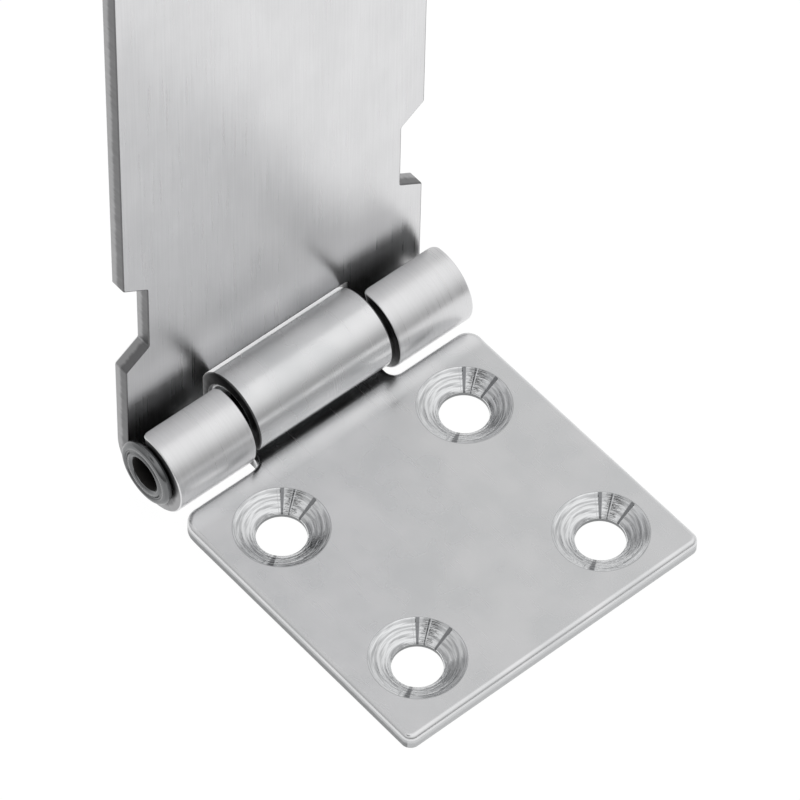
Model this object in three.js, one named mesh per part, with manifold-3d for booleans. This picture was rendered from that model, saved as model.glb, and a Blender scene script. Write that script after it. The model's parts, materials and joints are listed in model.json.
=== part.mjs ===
// A hinged hasp and its staple, pressed from stainless steel sheet.
//
// Millimetres, +Z up. X runs along the hinge pin, +Y points from the leaf to the barrel, and Z = 0
// is the face that is screwed down. The origin is the middle of the leaf's four screw holes.
// The strap stands square to the leaf. It turns about +X: a quarter turn forward lays it over the
// leaf and onto the staple, and a quarter turn back lays it flat behind the barrel.

import * as THREE from 'three';
import { mergeVertices } from 'three/addons/utils/BufferGeometryUtils.js';
import Module from 'manifold-3d';

const wasm = await Module();
wasm.setup();

// Sheet, and the leaf cut from it
const SHEET = 2.0;
const LEAF_WIDTH = 42.0;
const LEAF_LENGTH = 38.6;
const LEAF_CORNER = 1.2;
const LEAF_BACK_CORNER = 2.0;
const MARGIN_RISE = 0.3; // how far the edge beside the barrel is pressed up
const MARGIN_WIDTH = 3.0;
const ROOT_FILLET = 1.2; // where the knuckle's tab leaves the leaf

// Countersunk screw holes
const SCREW_HOLE = 5.7;
const COUNTERSINK = 10.6;
const COUNTERSINK_ANGLE = 120;
const HOLE_SPACING_X = 26.4;
const HOLE_SPACING_Y = 22.8;
const HOLE_FRONT_MARGIN = 7.8; // from the front pair of holes to the front edge

// Hinge pin, a tube with its near end rolled over and its far end set down
const PIN_DIAMETER = 5.2;
const PIN_BORE = 3.6;
const PIN_MOUTH = 5.0;
const PIN_MOUTH_DEPTH = 1.8;
const PIN_HEAD = 8.0;
const PIN_HEAD_THICKNESS = 1.1;
const PIN_SET_END = 6.6;
const PIN_SET_THICKNESS = 0.6;
const PIN_CLEARANCE = 0.1; // round the pin at the tightest part of a knuckle
const HEAD_CLEARANCE = 0.1; // between a pin head and the knuckle beside it

// Rolled knuckles: each starts wide of the pin and closes on it towards its tip
const ROLL_OPENING = 1.3;
const STRAP_WRAP = 292;
const LEAF_WRAP = 302;
const LEAF_LAG = 1.7; // above 1 the leaf's roll stays wide for longer and closes near its tip
const CENTRE_KNUCKLE = 19.1;
const KNUCKLE_GAP = 0.84;
const EDGE_CLEARANCE = 0.05; // between the leaf's back edge and the widest part of a strap knuckle
const NOTCH_CLEARANCE = 0.1; // between the strap and the widest part of the leaf's knuckle

// Strap
const STRAP_WIDTH = 42.0;
const STRAP_END = 127.0; // from the pin's axis to the free end
const STRAP_CORNER = 9.0;
const WAIST_DEPTH = 3.2;
const WAIST_HEIGHT = 19.9; // from the pin's axis to the middle of the waist
const WAIST_LENGTH = 9.6;
const WAIST_SHOULDER = 2.1; // height of the slope at each end of the waist
const SLOT_END_MARGIN = 11.0; // sheet left between the slot and the free end

// Staple: a bent rod whose two ends are riveted through a plate
const ROD_DIAMETER = 6.0;
const LOOP_SPACING = 20.0; // between the centres of the two legs
const SHACKLE_ROOM = 10.0; // clear height in the loop above the closed strap
const TENON_DIAMETER = 4.5;
const TENON_CLEARANCE = 0.05;
const SEAT_GAP = 0.05; // between the rod's shoulders and the plate
const RIVET_HEAD = 6.5;
const RIVET_HEAD_DEPTH = 1.0;
const RIVET_RECESS = 0.1;
const PLATE_WIDTH = 42.0;
const PLATE_LENGTH = 36.0;
const PLATE_CORNER = 2.0;
const PLATE_HOLE_SPACING_X = 26.4;
const PLATE_HOLE_SPACING_Y = 20.0;
const SLOT_CLEARANCE = 1.5; // round the rod on every side

// Places worked out from the sizes above
const tipRadius = PIN_DIAMETER / 2 + PIN_CLEARANCE + SHEET;
const rollRadius = tipRadius + ROLL_OPENING;
const axisHeight = rollRadius;
const leafRollRadius = axisHeight - MARGIN_RISE;
const leafFront = -HOLE_SPACING_Y / 2 - HOLE_FRONT_MARGIN;
const leafBack = leafFront + LEAF_LENGTH;
const leafEdgeDrop = axisHeight - SHEET - MARGIN_RISE;
const axisSetback = Math.sqrt((rollRadius + EDGE_CLEARANCE) ** 2 - leafEdgeDrop ** 2);
const axisY = leafBack + axisSetback;
const strapFace = rollRadius - SHEET; // from the axis to the face on the barrel's side
const notchHeight = Math.sqrt((leafRollRadius + NOTCH_CLEARANCE) ** 2 - strapFace ** 2);
const slotWidth = ROD_DIAMETER + 2 * SLOT_CLEARANCE;
const slotLength = LOOP_SPACING + slotWidth;
const stapleDistance = STRAP_END - SLOT_END_MARGIN - slotLength / 2;
const stapleY = axisY - stapleDistance;
const loopCentre = axisHeight + rollRadius + SHACKLE_ROOM - (LOOP_SPACING - ROD_DIAMETER) / 2;

// Outlines are drawn flat and extruded along one of these directions
const X = new THREE.Vector3(1, 0, 0);
const Y = new THREE.Vector3(0, 1, 0);
const Z = new THREE.Vector3(0, 0, 1);
const ALONG_X = new THREE.Matrix4().makeBasis(Y, Z, X); // drawn in Y and Z
const ALONG_Y = new THREE.Matrix4().makeBasis(X, Z, Y.clone().negate()); // drawn in X and Z
const ALONG_Z = new THREE.Matrix4(); // drawn in X and Y
const MARGIN = 1.0; // how far a cutting solid runs past what it cuts

function solid(geometry) {
  geometry.deleteAttribute('normal');
  geometry.deleteAttribute('uv');
  const merged = mergeVertices(geometry, 1e-4);
  return new wasm.Manifold(new wasm.Mesh({
    numProp: 3,
    vertProperties: new Float32Array(merged.attributes.position.array),
    triVerts: new Uint32Array(merged.index.array),
  }));
}

function extrude(shape, start, end, direction) {
  const geometry = new THREE.ExtrudeGeometry(shape, {
    depth: end - start,
    bevelEnabled: false,
    curveSegments: 12,
  });
  geometry.translate(0, 0, start);
  geometry.applyMatrix4(direction);
  return solid(geometry);
}

// Turns a profile of radius and height about the Z axis
function turn(points, segments = 48) {
  const geometry = new THREE.LatheGeometry(points, segments);
  geometry.rotateX(Math.PI / 2);
  return solid(geometry);
}

function named(name, body, material) {
  const { vertProperties, triVerts } = body.getMesh();
  const geometry = new THREE.BufferGeometry();
  geometry.setAttribute('position', new THREE.BufferAttribute(vertProperties, 3));
  geometry.setIndex(new THREE.BufferAttribute(triVerts, 1));
  geometry.computeVertexNormals();
  const mesh = new THREE.Mesh(geometry, material);
  mesh.name = name;
  return mesh;
}

function roundedRectangle(width, length, corner) {
  const shape = new THREE.Shape();
  const x = width / 2 - corner;
  const y = length / 2 - corner;
  shape.absarc(x, y, corner, 0, Math.PI / 2);
  shape.absarc(-x, y, corner, Math.PI / 2, Math.PI);
  shape.absarc(-x, -y, corner, Math.PI, 1.5 * Math.PI);
  shape.absarc(x, -y, corner, 1.5 * Math.PI, 2 * Math.PI);
  return shape;
}

// A screw hole that is countersunk from above, standing on Z = 0
function screwHole(x, y) {
  const hole = SCREW_HOLE / 2;
  const sink = COUNTERSINK / 2;
  const slope = Math.tan(THREE.MathUtils.degToRad(COUNTERSINK_ANGLE / 2));
  const depth = (sink - hole) / slope;
  const profile = [
    new THREE.Vector2(0, -MARGIN),
    new THREE.Vector2(hole, -MARGIN),
    new THREE.Vector2(hole, SHEET - depth),
    new THREE.Vector2(sink + MARGIN * slope, SHEET + MARGIN),
    new THREE.Vector2(0, SHEET + MARGIN),
  ];
  return turn(profile).translate([x, y, 0]);
}

function cutScrewHoles(body, spacingX, spacingY, centreY) {
  let cut = body;
  for (const x of [-spacingX / 2, spacingX / 2]) {
    for (const y of [-spacingY / 2, spacingY / 2]) {
      cut = cut.subtract(screwHole(x, centreY + y));
    }
  }
  return cut;
}

// One face of a roll in Y and Z, from its wide start to its tip. The sheet eases from the start
// radius to the radius that fits the pin; side is +1 for a roll that climbs behind the pin, and a
// lag above 1 holds the change back towards the tip.
function rollFace(startRadius, startAngle, wrap, side, inset, lag = 1) {
  const steps = Math.ceil(wrap / 5);
  const points = [];
  for (let i = 0; i <= steps; i += 1) {
    const share = i / steps;
    const eased = (1 - Math.cos(Math.PI * share ** lag)) / 2;
    const radius = startRadius - (startRadius - tipRadius) * eased - inset;
    const angle = THREE.MathUtils.degToRad(startAngle + side * wrap * share);
    points.push([axisY + radius * Math.cos(angle), axisHeight + radius * Math.sin(angle)]);
  }
  return points;
}

function drawPoints(shape, points) {
  for (const [y, z] of points) shape.lineTo(y, z);
}

// The leaf and its centre knuckle from the side: flat, lifted a little along the back margin, then
// under the pin, up behind it, over it and down its front
function leafSection() {
  const riseStart = leafBack - MARGIN_WIDTH;
  const riseMiddle = leafBack - MARGIN_WIDTH / 2;
  const section = new THREE.Shape();
  section.moveTo(leafFront, SHEET);
  section.lineTo(leafFront, 0);
  section.lineTo(riseStart, 0);
  section.bezierCurveTo(riseMiddle, 0, riseMiddle, MARGIN_RISE, leafBack, MARGIN_RISE);
  drawPoints(section, rollFace(leafRollRadius, -90, LEAF_WRAP, 1, 0, LEAF_LAG));
  drawPoints(section, rollFace(leafRollRadius, -90, LEAF_WRAP, 1, SHEET, LEAF_LAG).reverse());
  section.lineTo(leafBack, MARGIN_RISE + SHEET);
  section.bezierCurveTo(riseMiddle, MARGIN_RISE + SHEET, riseMiddle, SHEET, riseStart, SHEET);
  return section;
}

// The leaf from above, with the tab that becomes the centre knuckle
function leafOutline() {
  const side = LEAF_WIDTH / 2;
  const tab = CENTRE_KNUCKLE / 2;
  const end = axisY + rollRadius + MARGIN;
  const quarter = Math.PI / 2;
  const outline = new THREE.Shape();
  outline.absarc(-side + LEAF_CORNER, leafFront + LEAF_CORNER, LEAF_CORNER, 2 * quarter, 3 * quarter);
  outline.absarc(side - LEAF_CORNER, leafFront + LEAF_CORNER, LEAF_CORNER, 3 * quarter, 4 * quarter);
  outline.absarc(side - LEAF_BACK_CORNER, leafBack - LEAF_BACK_CORNER, LEAF_BACK_CORNER, 0, quarter);
  outline.absarc(tab + ROOT_FILLET, leafBack + ROOT_FILLET, ROOT_FILLET, -quarter, -2 * quarter, true);
  outline.lineTo(tab, end);
  outline.lineTo(-tab, end);
  outline.absarc(-tab - ROOT_FILLET, leafBack + ROOT_FILLET, ROOT_FILLET, 0, -quarter, true);
  outline.absarc(-side + LEAF_BACK_CORNER, leafBack - LEAF_BACK_CORNER, LEAF_BACK_CORNER, quarter, 2 * quarter);
  return outline;
}

function makeLeaf() {
  const side = LEAF_WIDTH / 2 + MARGIN;
  const sheet = extrude(leafSection(), -side, side, ALONG_X);
  const flat = extrude(leafOutline(), -MARGIN, MARGIN_RISE + SHEET, ALONG_Z);
  const trimmed = sheet.intersect(flat.add(knuckleRoom()));
  return cutScrewHoles(trimmed, HOLE_SPACING_X, HOLE_SPACING_Y, 0);
}

// All that the centre knuckle may fill, which is as wide as its tab at every height
function knuckleRoom() {
  const reach = rollRadius + MARGIN;
  const room = new THREE.Shape();
  room.moveTo(axisY - reach, axisHeight - reach);
  room.lineTo(axisY + reach, axisHeight - reach);
  room.lineTo(axisY + reach, axisHeight + reach);
  room.lineTo(axisY - reach, axisHeight + reach);
  return extrude(room, -CENTRE_KNUCKLE / 2, CENTRE_KNUCKLE / 2, ALONG_X);
}

// The strap and its outer knuckles from the side: down behind the pin, under it, up and over it
function strapSection() {
  const back = axisY + rollRadius;
  const end = axisHeight + STRAP_END + MARGIN;
  const section = new THREE.Shape();
  section.moveTo(back - SHEET, end);
  section.lineTo(back, end);
  drawPoints(section, rollFace(rollRadius, 0, STRAP_WRAP, -1, 0));
  drawPoints(section, rollFace(rollRadius, 0, STRAP_WRAP, -1, SHEET).reverse());
  return section;
}

// The strap from the front, with its waist, the gap for the leaf's knuckle and the slot
function strapOutline() {
  const side = STRAP_WIDTH / 2;
  const waist = side - WAIST_DEPTH;
  const notch = CENTRE_KNUCKLE / 2 + KNUCKLE_GAP;
  const bottom = axisHeight - rollRadius - MARGIN;
  const end = axisHeight + STRAP_END;
  const waistLow = axisHeight + WAIST_HEIGHT - WAIST_LENGTH / 2;
  const waistHigh = axisHeight + WAIST_HEIGHT + WAIST_LENGTH / 2;
  const outline = new THREE.Shape();
  outline.moveTo(notch, axisHeight + notchHeight);
  outline.lineTo(notch, bottom);
  outline.lineTo(side, bottom);
  outline.lineTo(side, waistLow - WAIST_SHOULDER);
  outline.lineTo(waist, waistLow);
  outline.lineTo(waist, waistHigh);
  outline.lineTo(side, waistHigh + WAIST_SHOULDER);
  outline.absarc(side - STRAP_CORNER, end - STRAP_CORNER, STRAP_CORNER, 0, Math.PI / 2);
  outline.absarc(-side + STRAP_CORNER, end - STRAP_CORNER, STRAP_CORNER, Math.PI / 2, Math.PI);
  outline.lineTo(-side, waistHigh + WAIST_SHOULDER);
  outline.lineTo(-waist, waistHigh);
  outline.lineTo(-waist, waistLow);
  outline.lineTo(-side, waistLow - WAIST_SHOULDER);
  outline.lineTo(-side, bottom);
  outline.lineTo(-notch, bottom);
  outline.lineTo(-notch, axisHeight + notchHeight);
  outline.holes.push(slotOutline());
  return outline;
}

function slotOutline() {
  const radius = slotWidth / 2;
  const middle = axisHeight + stapleDistance;
  const slot = new THREE.Path();
  slot.absarc(0, middle + LOOP_SPACING / 2, radius, 0, Math.PI);
  slot.absarc(0, middle - LOOP_SPACING / 2, radius, Math.PI, 2 * Math.PI);
  return slot;
}

function makeStrap() {
  const side = STRAP_WIDTH / 2 + MARGIN;
  const reach = rollRadius + MARGIN;
  const sheet = extrude(strapSection(), -side, side, ALONG_X);
  const trimmed = sheet.intersect(extrude(strapOutline(), -axisY - reach, -axisY + reach, ALONG_Y));
  return trimmed.subtract(knuckleSpace(reach));
}

// The space between the outer knuckles, in front of the strap's flat sheet
function knuckleSpace(reach) {
  const low = axisHeight - reach;
  const height = 2 * reach;
  const width = CENTRE_KNUCKLE + 2 * KNUCKLE_GAP;
  const space = new THREE.Shape();
  space.moveTo(axisY - reach, low);
  space.lineTo(axisY + strapFace, low);
  space.lineTo(axisY + strapFace, low + height);
  space.lineTo(axisY - reach, low + height);
  return extrude(space, -width / 2, width / 2, ALONG_X);
}

// Half of the pin's wall, from its middle out over one end and back down the bore
function pinHalf(head, thickness) {
  const headFace = STRAP_WIDTH / 2 + HEAD_CLEARANCE;
  const rim = thickness / 2;
  const end = headFace + thickness;
  const wall = new THREE.Path();
  wall.moveTo(PIN_DIAMETER / 2, 0);
  wall.lineTo(PIN_DIAMETER / 2, headFace);
  wall.absarc(head / 2 - rim, headFace + rim, rim, -Math.PI / 2, Math.PI / 2);
  wall.lineTo(PIN_MOUTH / 2, end);
  wall.quadraticCurveTo(PIN_BORE / 2, end, PIN_BORE / 2, end - PIN_MOUTH_DEPTH);
  wall.lineTo(PIN_BORE / 2, 0);
  return wall.getPoints(5);
}

function makePin() {
  const far = pinHalf(PIN_SET_END, PIN_SET_THICKNESS);
  const near = pinHalf(PIN_HEAD, PIN_HEAD_THICKNESS);
  const lower = near.map((point) => new THREE.Vector2(point.x, -point.y)).reverse();
  const wall = [...far, ...lower.slice(1)];
  return turn(wall).rotate([0, 90, 0]).translate([0, axisY, axisHeight]);
}

// The middle of the staple's rod: up one leg, over and down the other
class StapleLine extends THREE.Curve {
  constructor(radius, foot, top) {
    super();
    this.radius = radius;
    this.foot = foot;
    this.top = top;
  }

  getPoint(share, target = new THREE.Vector3()) {
    const leg = this.top - this.foot;
    const bend = Math.PI * this.radius;
    const along = share * (2 * leg + bend);
    if (along < leg) return target.set(0, this.radius, this.foot + along);
    if (along > leg + bend) return target.set(0, -this.radius, this.top - (along - leg - bend));
    const angle = (along - leg) / this.radius;
    return target.set(0, this.radius * Math.cos(angle), this.top + this.radius * Math.sin(angle));
  }
}

// The shank and riveted head of one leg; grown by the clearance it is the hole that it fills
function rivet(clearance) {
  const shank = TENON_DIAMETER / 2 + clearance;
  const head = RIVET_HEAD / 2 + clearance;
  const face = clearance > 0 ? -MARGIN : RIVET_RECESS;
  const profile = [
    new THREE.Vector2(0, face),
    new THREE.Vector2(head, face),
    new THREE.Vector2(head, RIVET_RECESS),
    new THREE.Vector2(shank, RIVET_RECESS + RIVET_HEAD_DEPTH + clearance),
    new THREE.Vector2(shank, SHEET + MARGIN),
    new THREE.Vector2(0, SHEET + MARGIN),
  ];
  return turn(clearance > 0 ? profile : profile.slice(0, 2).concat(profile.slice(3)));
}

function makeStapleLoop() {
  const path = new StapleLine(LOOP_SPACING / 2, SHEET + SEAT_GAP, loopCentre);
  const section = new THREE.Shape().absarc(0, 0, ROD_DIAMETER / 2, 0, 2 * Math.PI);
  const rod = new THREE.ExtrudeGeometry(section, { steps: 44, curveSegments: 14, extrudePath: path });
  let loop = solid(rod);
  for (const side of [-1, 1]) {
    loop = loop.add(rivet(0).translate([0, side * LOOP_SPACING / 2, 0]));
  }
  return loop.translate([0, stapleY, 0]);
}

function makeStaplePlate() {
  const outline = roundedRectangle(PLATE_WIDTH, PLATE_LENGTH, PLATE_CORNER);
  let plate = extrude(outline, 0, SHEET, ALONG_Z);
  for (const side of [-1, 1]) {
    plate = plate.subtract(rivet(TENON_CLEARANCE).translate([0, side * LOOP_SPACING / 2, 0]));
  }
  const placed = plate.translate([0, stapleY, 0]);
  return cutScrewHoles(placed, PLATE_HOLE_SPACING_X, PLATE_HOLE_SPACING_Y, stapleY);
}

const polished = new THREE.MeshStandardMaterial({ color: 0xc4c6c8, roughness: 0.28, metalness: 1 });
const brushed = new THREE.MeshStandardMaterial({ color: 0xcfd0d1, roughness: 0.38, metalness: 1 });
const rolled = new THREE.MeshStandardMaterial({ color: 0x9b9d9f, roughness: 0.35, metalness: 1 });

const hasp = new THREE.Group();
hasp.add(named('base_leaf', makeLeaf(), polished));
hasp.add(named('hasp_strap', makeStrap(), brushed));
hasp.add(named('hinge_pin', makePin(), rolled));
hasp.add(named('staple_plate', makeStaplePlate(), polished));
hasp.add(named('staple_loop', makeStapleLoop(), polished));

export default hasp;
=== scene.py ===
"""A stainless steel hinged hasp and its staple, with the finish of each piece.

Metres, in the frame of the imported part: X runs along the hinge pin, +Y points from the leaf to the
barrel, and Z = 0 is the face that is screwed down. Both sheets are cut flat as blanks and then
rolled round the pin by one rule, so their grain bends with the metal.
"""

import json
import math

import bmesh
import bpy
from mathutils import Matrix, Vector


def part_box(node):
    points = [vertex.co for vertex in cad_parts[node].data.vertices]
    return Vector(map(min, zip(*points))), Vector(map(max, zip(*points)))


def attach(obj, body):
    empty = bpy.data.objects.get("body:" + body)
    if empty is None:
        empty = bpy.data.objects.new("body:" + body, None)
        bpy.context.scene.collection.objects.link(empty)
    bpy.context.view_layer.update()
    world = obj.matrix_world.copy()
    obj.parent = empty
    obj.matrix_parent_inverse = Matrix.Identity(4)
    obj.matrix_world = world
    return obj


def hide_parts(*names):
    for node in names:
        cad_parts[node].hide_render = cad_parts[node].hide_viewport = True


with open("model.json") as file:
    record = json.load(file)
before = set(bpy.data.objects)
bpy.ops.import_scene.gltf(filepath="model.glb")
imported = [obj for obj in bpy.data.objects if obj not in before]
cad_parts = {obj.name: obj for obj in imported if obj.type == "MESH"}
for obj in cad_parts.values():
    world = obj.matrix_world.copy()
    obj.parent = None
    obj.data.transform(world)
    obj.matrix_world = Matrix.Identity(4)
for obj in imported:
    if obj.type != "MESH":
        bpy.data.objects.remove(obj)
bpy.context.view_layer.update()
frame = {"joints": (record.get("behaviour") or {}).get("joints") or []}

MM = 0.001
ON_THE_LINE = 1e-7  # a point this close to a bend line isn't cut again
SAME_POINT = 1e-8  # points closer than this are merged

# Sheet and the rounding that tumbling leaves on its edges
SHEET = 2.0 * MM
LEAF_EDGE_ROUND = 0.6 * MM
LEAF_UNDER_ROUND = 0.2 * MM
STRAP_EDGE_ROUND = 0.15 * MM
EDGE_STEPS = 5
CORNER_STEP = math.radians(9)
SUPPORT = 0.08 * MM  # a narrow flat ring that keeps each face flat up to its rounded edge

# Rolled knuckles
PIN_DIAMETER = 5.2 * MM
PIN_CLEARANCE = 0.1 * MM
ROLL_OPENING = 1.3 * MM
MARGIN_RISE = 0.3 * MM
MARGIN_WIDTH = 3.0 * MM
STRAP_WRAP = math.radians(292)
LEAF_WRAP = math.radians(302)
LEAF_LAG = 1.7  # above 1 the leaf's roll stays wide for longer and closes near its tip
CENTRE_KNUCKLE = 19.1 * MM
KNUCKLE_GAP = 0.84 * MM
NOTCH_CLEARANCE = 0.02 * MM
ROLL_STEP = math.radians(2.5)
MARGIN_STEPS = 14

# Leaf
LEAF_LENGTH = 38.6 * MM
LEAF_CORNER = 1.2 * MM
LEAF_BACK_CORNER = 2.0 * MM
ROOT_FILLET = 1.2 * MM
TAB_CORNER = 0.9 * MM

# Countersunk holes
SCREW_HOLE = 5.7 * MM
COUNTERSINK = 10.6 * MM
COUNTERSINK_SLOPE = math.radians(30)  # the wall's angle to the face, from a 120 degree cutter
LEAF_HOLES = (26.4 * MM, 22.8 * MM)
PLATE_HOLES = (26.4 * MM, 20.0 * MM)
RIM_ROUND = 0.08 * MM
RIM_CHAMFER = 0.3  # the share of the rounding that its one chamfer ring is set in by
CONE_RINGS = 6
CONE_FOOT = 0.25  # how far up the cone its first ring lies, in rings
TURN_STEPS = 96  # points round a hole or a turned piece

# Strap
WAIST_DEPTH = 3.2 * MM
WAIST_HEIGHT = 19.9 * MM
WAIST_LENGTH = 9.6 * MM
WAIST_SHOULDER = 2.1 * MM
SHEAR_CORNER = 0.45 * MM  # the smallest corner that the punch leaves
STRAP_CORNER = 9.0 * MM
SLOT_END_MARGIN = 11.0 * MM
SLOT_CLEARANCE = 1.5 * MM
SLOT_END_SHARE = 0.999  # a little under 1, so that the two arcs of a round end don't meet

# Pin, a drawn tube with its near end rolled over and its far end set down
PIN_BORE = 3.6 * MM
PIN_MOUTH = 5.0 * MM
PIN_MOUTH_DEPTH = 1.8 * MM
PIN_HEAD = 8.0 * MM
PIN_SET_END = 6.6 * MM  # the far end is only set down
PIN_SET_DEPTH = 0.6 * MM
HEAD_CLEARANCE = 0.1 * MM
PIN_ROOT_ROUND = 0.15 * MM
RIM_GROOVE_WIDTH = 0.42 * MM  # between the rolled rim and the mouth
RIM_GROOVE_DEPTH = 0.18 * MM
RIM_GROOVE_SPACE = 0.6 * MM
BORE_SHADE_SHARE = 0.6  # how far out from the bore the near-black painted shade and dark scale reach in the mouth

# Staple
ROD = 6.0 * MM
LOOP_SPACING = 20.0 * MM
TENON = 4.5 * MM
TENON_CLEARANCE = 0.05 * MM
SEAT_GAP = 0.05 * MM
RIVET_HEAD = 6.5 * MM
RIVET_HEAD_DEPTH = 1.0 * MM
RIVET_RECESS = 0.1 * MM
PLATE_CORNER = 2.0 * MM
BEND_STEPS = 48
ROD_SIDES = 40

# The white tent's light, where 1 is white
WALL_LIGHT = 0.56
WALL_SLOPE = (0.25, 0.32, 0.0)  # how much lighter its wall gets towards +X and +Y
ROOF_LIGHT = 1.12
BACK_ROOF_LIGHT = 0.72
OPENING_LIGHT = 0.08
OPENING_TOWARDS = (-0.42, -0.05, 0.905)

# The finish number of each face
# the front edge's finish is a lighter copy of the punched edge: a painted highlight
SHEET_FACE, SHEARED_EDGE, CUT_CONE, LIT_FRONT_EDGE, SHADED_KNUCKLE_EDGE = range(5)

# The range that a noise keeps to, and where a Mix node has its two colours and the mixed one
NOISE_RANGE = {"From Min": 0.2, "From Max": 0.8}
FIRST_COLOUR, SECOND_COLOUR, MIXED_COLOUR = 6, 7, 2

# Where a Compare node has its two whole numbers
FIRST_NUMBER, SECOND_NUMBER = 2, 3

# Places taken from the frame
hinge = frame["joints"][0]["pos_m"]
axis = Vector((0, hinge[1], hinge[2]))
leaf_low, leaf_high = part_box("base_leaf")
strap_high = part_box("hasp_strap")[1]
plate_low, plate_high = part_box("staple_plate")
loop_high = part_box("staple_loop")[1]
pin_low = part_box("hinge_pin")[0]
tip_radius = PIN_DIAMETER / 2 + PIN_CLEARANCE + SHEET
roll_radius = tip_radius + ROLL_OPENING
leaf_roll_radius = roll_radius - MARGIN_RISE
half_width = strap_high.x
leaf_half = leaf_high.x
plate_centre = (plate_low + plate_high) / 2


# Nodes

def add(tree, kind, inputs=(), **settings):
    """Adds a node, sets its properties, and sets or links its inputs, given by name or number."""
    node = tree.nodes.new(kind)
    for name, value in settings.items():
        setattr(node, name, value)
    for key, value in dict(inputs).items():
        socket = node.inputs[key]
        if isinstance(value, bpy.types.NodeSocket):
            tree.links.new(value, socket)
        else:
            socket.default_value = value
    return node


def linear(hexadecimal):
    """The linear colour of an sRGB hex value."""
    parts = [int(hexadecimal[i:i + 2], 16) / 255 for i in (0, 2, 4)]
    return [p / 12.92 if p <= 0.04045 else ((p + 0.055) / 1.055) ** 2.4 for p in parts] + [1.0]


# Objects and lines

def linked(name, data):
    """A new object of this name, linked into the scene."""
    made = bpy.data.objects.new(name, data)
    bpy.context.scene.collection.objects.link(made)
    return made


def piece_from(mesh, name):
    """The finished bmesh as an object of this name."""
    data = bpy.data.meshes.new(name)
    mesh.to_mesh(data)
    mesh.free()
    return linked(name, data)


def steps(first, last, count):
    """Values from the first to the last in this many even steps."""
    return [first + (last - first) * k / count for k in range(count + 1)]


def arc(centre, across, up, first, last, count):
    """Points on an elliptic arc about a middle, with its two radii and its angles in degrees."""
    angles = [math.radians(a) for a in steps(first, last, count)]
    return [(centre[0] + across * math.cos(a), centre[1] + up * math.sin(a)) for a in angles]


# Outlines are closed lists of (point, outward normal) in the plane of the sheet

def outline(corners):
    """A closed outline through corners of (x, y, radius), anticlockwise."""
    found = []
    for i, (x, y, radius) in enumerate(corners):
        here = Vector((x, y))
        before = (here - Vector(corners[i - 1][:2])).normalized()
        after = (Vector(corners[(i + 1) % len(corners)][:2]) - here).normalized()
        turn = before.angle_signed(after) * -1
        reach = radius * math.tan(abs(turn) / 2)
        side = 1 if turn > 0 else -1
        centre = here - before * reach + side * radius * Vector((-before.y, before.x))
        count = max(2, math.ceil(abs(turn) / CORNER_STEP))
        for angle in steps(0, turn, count):
            normal = Vector((before.y, -before.x))
            normal.rotate(Matrix.Rotation(angle, 2))
            found.append((centre + side * radius * normal, normal))
    return found


def around():
    """The angles of the points round a hole or a turned piece."""
    return [2 * math.pi * k / TURN_STEPS for k in range(TURN_STEPS)]


def edge_profile(under, over):
    """From the lower face to the upper one over a rounded edge: (inset, height)."""
    lower = arc((under, under), under, under, -90, -180, EDGE_STEPS)
    upper = arc((over, SHEET - over), over, over, 180, 90, EDGE_STEPS)
    return [(under + SUPPORT, 0.0), *lower, *upper, (over + SUPPORT, SHEET)]


def cone_profile():
    """From the lower face up a screw hole and out over its countersink: (radius, height, whether
    the band that ends there is part of the cone)."""
    hole = SCREW_HOLE / 2
    rim = COUNTERSINK / 2
    rise = (rim - hole) * math.tan(COUNTERSINK_SLOPE)
    shoulder = SHEET - rise
    chamfer = RIM_ROUND * RIM_CHAMFER
    cone = [(hole + RIM_ROUND + (rim - hole - RIM_ROUND) * k / CONE_RINGS,
             shoulder + (rise - RIM_ROUND / 2) * (k + CONE_FOOT) / (CONE_RINGS + CONE_FOOT), True)
            for k in range(CONE_RINGS + 1)]
    return [(hole + RIM_ROUND + SUPPORT, 0.0, False), (hole + RIM_ROUND, 0.0, False),
            (hole + chamfer, chamfer, False), (hole, RIM_ROUND, False),
            (hole, shoulder - RIM_ROUND, False), *cone,
            (rim + RIM_ROUND, SHEET - RIM_ROUND / 6, True),
            (rim + 2 * RIM_ROUND, SHEET, False), (rim + 2 * RIM_ROUND + SUPPORT, SHEET, False)]


def rivet_profile():
    """From the lower face up the hole that a riveted tenon fills, with no cone in it."""
    head = RIVET_HEAD / 2 + TENON_CLEARANCE
    shank = TENON / 2 + TENON_CLEARANCE
    depth = RIVET_RECESS + RIVET_HEAD_DEPTH + TENON_CLEARANCE
    return [(head + SUPPORT, 0.0, False), (head, 0.0, False), (head, RIVET_RECESS, False),
            (shank, depth, False), (shank, SHEET, False), (shank + SUPPORT, SHEET, False)]


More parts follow.
